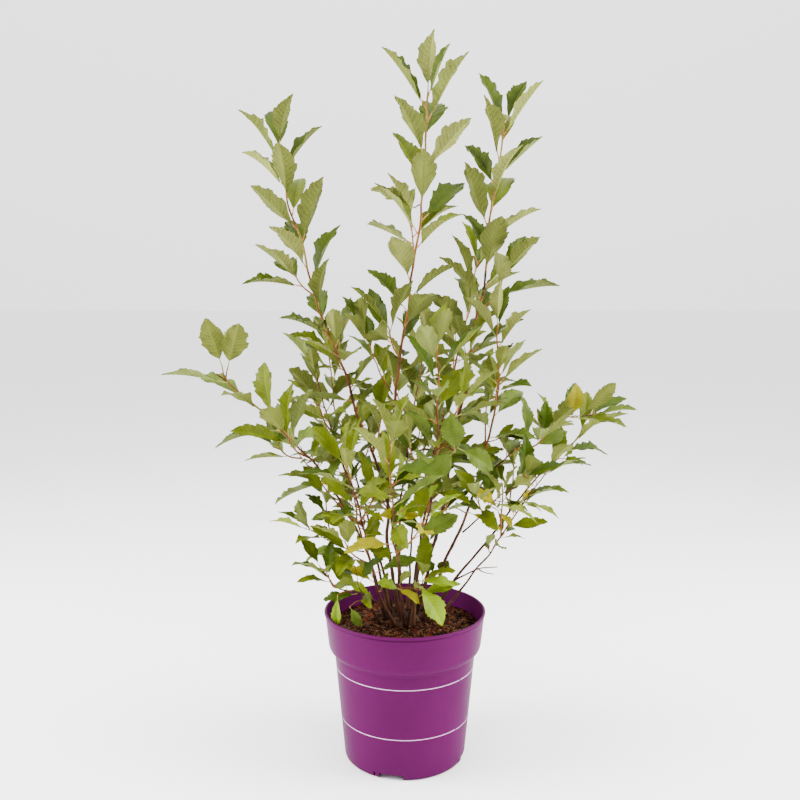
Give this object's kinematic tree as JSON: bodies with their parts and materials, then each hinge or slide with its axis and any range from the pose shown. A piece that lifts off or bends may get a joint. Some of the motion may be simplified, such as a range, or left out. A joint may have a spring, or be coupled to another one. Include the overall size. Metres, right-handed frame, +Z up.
{
  "type": "potted shrub",
  "caption": "Young many-stemmed shrub with toothed oval leaves up slender upright and arching canes, growing in a round tapered plastic nursery pot filled with compost.",
  "frame": {"origin": "centre of the pot's underside, level with the ring that it stands on", "axes": "+Z up, the side that the picture shows faces -Y, +X to the right in the picture"},
  "size_m": [0.5513, 0.4155, 0.8524],
  "materials": {
    "pot": "satin purple",
    "soil": "damp bark compost",
    "bark": "smooth red-brown young bark",
    "leaf": "matt green leaf"
  },
  "bodies": {
    "root": {"cane_back_centre": "bark", "cane_back_left": "bark", "cane_back_low": "bark", "cane_back_right": "bark", "cane_centre_red": "bark", "cane_centre_tall": "bark", "cane_dead_twig": "bark", "cane_front_left": "bark", "cane_front_mid": "bark", "cane_left_inner": "bark", "cane_left_long": "bark", "cane_left_low": "bark", "cane_left_shoot": "bark", "cane_left_tall": "bark", "cane_left_thin": "bark", "cane_low_front": "bark", "cane_low_left": "bark", "cane_low_shoot": "bark", "cane_right_front": "bark", "cane_right_long": "bark", "cane_right_low": "bark", "cane_right_red": "bark", "cane_right_tall": "bark", "cane_right_thin": "bark", "compost": "soil", "foliage_back_centre": "leaf", "foliage_back_left": "leaf", "foliage_back_low": "leaf", "foliage_back_right": "leaf", "foliage_centre_red": "leaf", "foliage_centre_tall": "leaf", "foliage_front_left": "leaf", "foliage_front_mid": "leaf", "foliage_left_inner": "leaf", "foliage_left_long": "leaf", "foliage_left_low": "leaf", "foliage_left_shoot": "leaf", "foliage_left_tall": "leaf", "foliage_left_thin": "leaf", "foliage_low_front": "leaf", "foliage_low_left": "leaf", "foliage_low_shoot": "leaf", "foliage_right_front": "leaf", "foliage_right_long": "leaf", "foliage_right_low": "leaf", "foliage_right_red": "leaf", "foliage_right_tall": "leaf", "foliage_right_thin": "leaf", "pot": "pot", "root_crown": "bark"}
  },
  "joints": []
}
